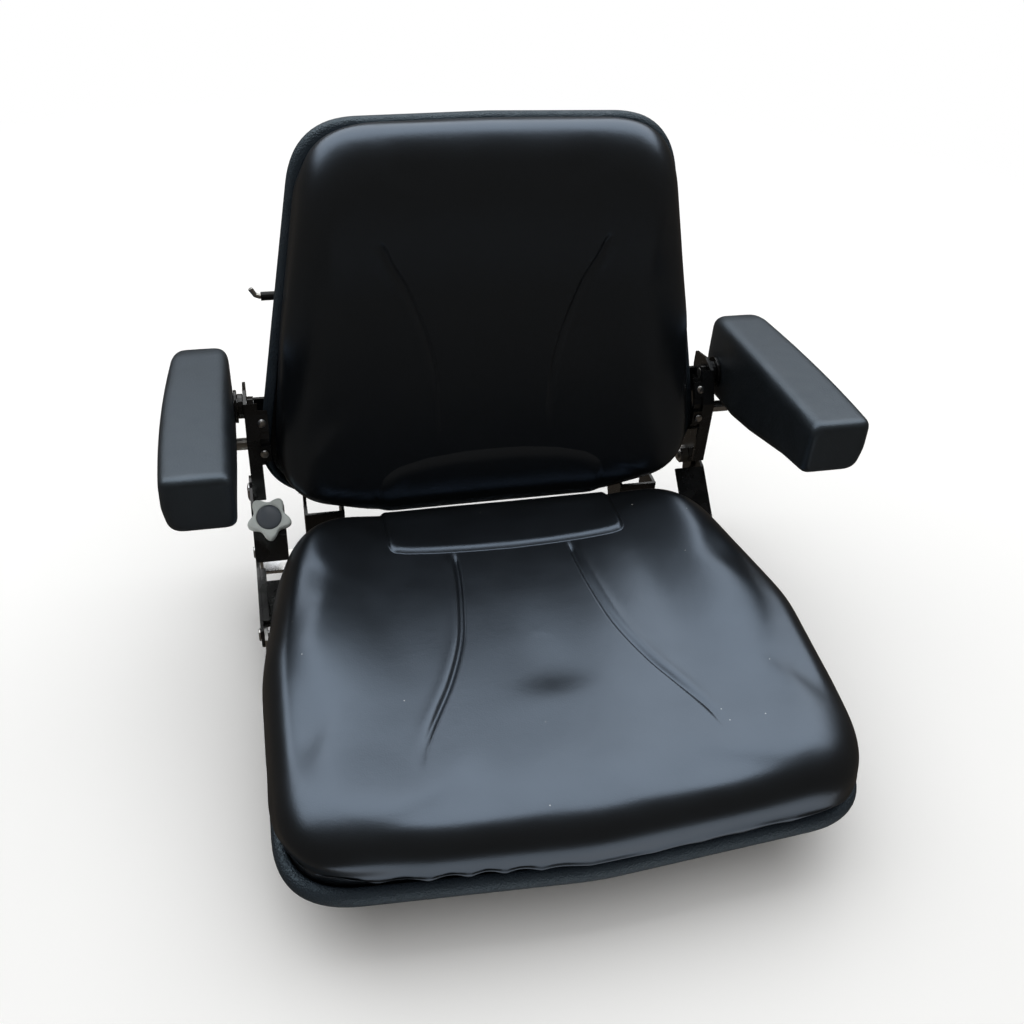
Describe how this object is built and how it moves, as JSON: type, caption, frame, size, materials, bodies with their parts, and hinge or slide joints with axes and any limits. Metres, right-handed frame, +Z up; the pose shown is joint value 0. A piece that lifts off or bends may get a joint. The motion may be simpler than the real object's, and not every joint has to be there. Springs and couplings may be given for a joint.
{
  "type": "forklift seat",
  "caption": "Black vinyl vehicle seat with a raked backrest, folding armrests, a star knob that sets the rake and slide rails underneath.",
  "frame": {"origin": "on the floor under the middle of the whole seat", "axes": "+X to the right of the picture, the driver's left-hand side; the driver faces -Y; +Z up"},
  "size_m": [0.611, 0.5233, 0.4699],
  "materials": {
    "black_vinyl": "soft semi-gloss vinyl cover",
    "trim_rubber": "matt ribbed edge trim",
    "black_paint": "gloss black paint",
    "grey_foam_skin": "fine grained foam skin",
    "zinc_plate": "bright zinc plate",
    "pale_knob": "pale grey moulding",
    "grey_cap": "dark grey moulding",
    "black_sleeve": "black sleeve"
  },
  "bodies": {
    "rails": {"lower_rail_left": "black_paint", "lower_rail_right": "black_paint"},
    "seat": {"seat_pan": "black_paint", "seat_trim": "trim_rubber", "seat_cushion": "black_vinyl", "side_bracket_left": "black_paint", "side_bracket_right": "black_paint", "rear_post_left": "black_paint", "rear_post_right": "black_paint", "hinge_bolt_left": "zinc_plate", "hinge_bolt_right": "zinc_plate", "hinge_nut_left": "zinc_plate", "hinge_nut_right": "zinc_plate", "rear_cross_bar": "zinc_plate", "front_cross_bar": "zinc_plate", "side_angle_left": "zinc_plate", "side_angle_right": "zinc_plate", "bracket_screw_front_left": "zinc_plate", "bracket_screw_front_right": "zinc_plate", "bracket_screw_rear_left": "zinc_plate", "bracket_screw_rear_right": "zinc_plate", "post_screw_left": "zinc_plate", "post_screw_right": "zinc_plate", "upper_rail_left": "zinc_plate", "upper_rail_right": "zinc_plate"},
    "backrest": {"back_cushion": "black_vinyl", "back_pan": "black_paint", "back_trim": "trim_rubber", "back_arm_left": "black_paint", "back_arm_right": "black_paint", "back_strap": "black_paint", "back_saddle": "black_paint", "hinge_shaft": "zinc_plate", "strap_bolt_left": "zinc_plate", "strap_bolt_right": "zinc_plate", "arm_rivet_lower_left": "zinc_plate", "arm_rivet_lower_right": "zinc_plate", "arm_rivet_upper_left": "zinc_plate", "arm_rivet_upper_right": "zinc_plate", "armrest_pivot_left": "zinc_plate", "armrest_pivot_right": "zinc_plate", "armrest_nut_left": "zinc_plate", "armrest_nut_right": "zinc_plate", "armrest_spacer_left": "black_paint", "armrest_spacer_right": "black_paint", "armrest_washer_left": "zinc_plate", "armrest_washer_right": "zinc_plate", "stop_pin_left": "zinc_plate", "stop_pin_right": "zinc_plate", "hook_wire": "zinc_plate", "hook_sleeve": "black_sleeve"},
    "armrest_left": {"armrest_pad_left": "grey_foam_skin"},
    "armrest_right": {"armrest_pad_right": "grey_foam_skin"},
    "knob": {"star_knob": "pale_knob", "knob_cap": "grey_cap", "rake_spindle": "zinc_plate"},
    "rake_nut": {"rake_nut": "zinc_plate"},
    "latch": {"latch_bar": "black_paint"}
  },
  "joints": [
    {"name": "seat_slide", "type": "slide", "parent": "rails", "child": "seat", "axis": [0, 1, 0], "range_m": [-0.075, 0.075]},
    {"name": "back_tilt", "type": "hinge", "parent": "seat", "child": "backrest", "pos_m": [0, 0.21689, 0.096], "axis": [1, 0, 0], "range_deg": [-12, 5]},
    {"name": "knob_turn", "type": "hinge", "parent": "seat", "child": "knob", "pos_m": [-0.2235, 0.16768, 0.09238], "axis": [0, -0.6334, 0.7738], "range_deg": [-1522.6, 635]},
    {"name": "nut_swivel", "type": "hinge", "parent": "backrest", "child": "rake_nut", "pos_m": [-0.2235, 0.18565, 0.07043], "axis": [1, 0, 0], "range_deg": [-5.5, 12.5]},
    {"name": "armrest_fold_left", "type": "hinge", "parent": "backrest", "child": "armrest_left", "pos_m": [-0.2459, 0.20889, 0.206], "axis": [-1, 0, 0], "range_deg": [0, 90]},
    {"name": "armrest_fold_right", "type": "hinge", "parent": "backrest", "child": "armrest_right", "pos_m": [0.2459, 0.20889, 0.206], "axis": [-1, 0, 0], "range_deg": [0, 90]},
    {"name": "latch_lift", "type": "hinge", "parent": "seat", "child": "latch", "pos_m": [0, -0.01211, 0.023], "axis": [-1, 0, 0], "range_deg": [0, 4], "stiffness_Nm_per_rad": 12, "springref_deg": -5.73}
  ],
  "couplings": [
    {"joint": "knob_turn", "follows": "back_tilt", "ratio": 126.8},
    {"joint": "nut_swivel", "follows": "back_tilt", "ratio": -1}
  ]
}
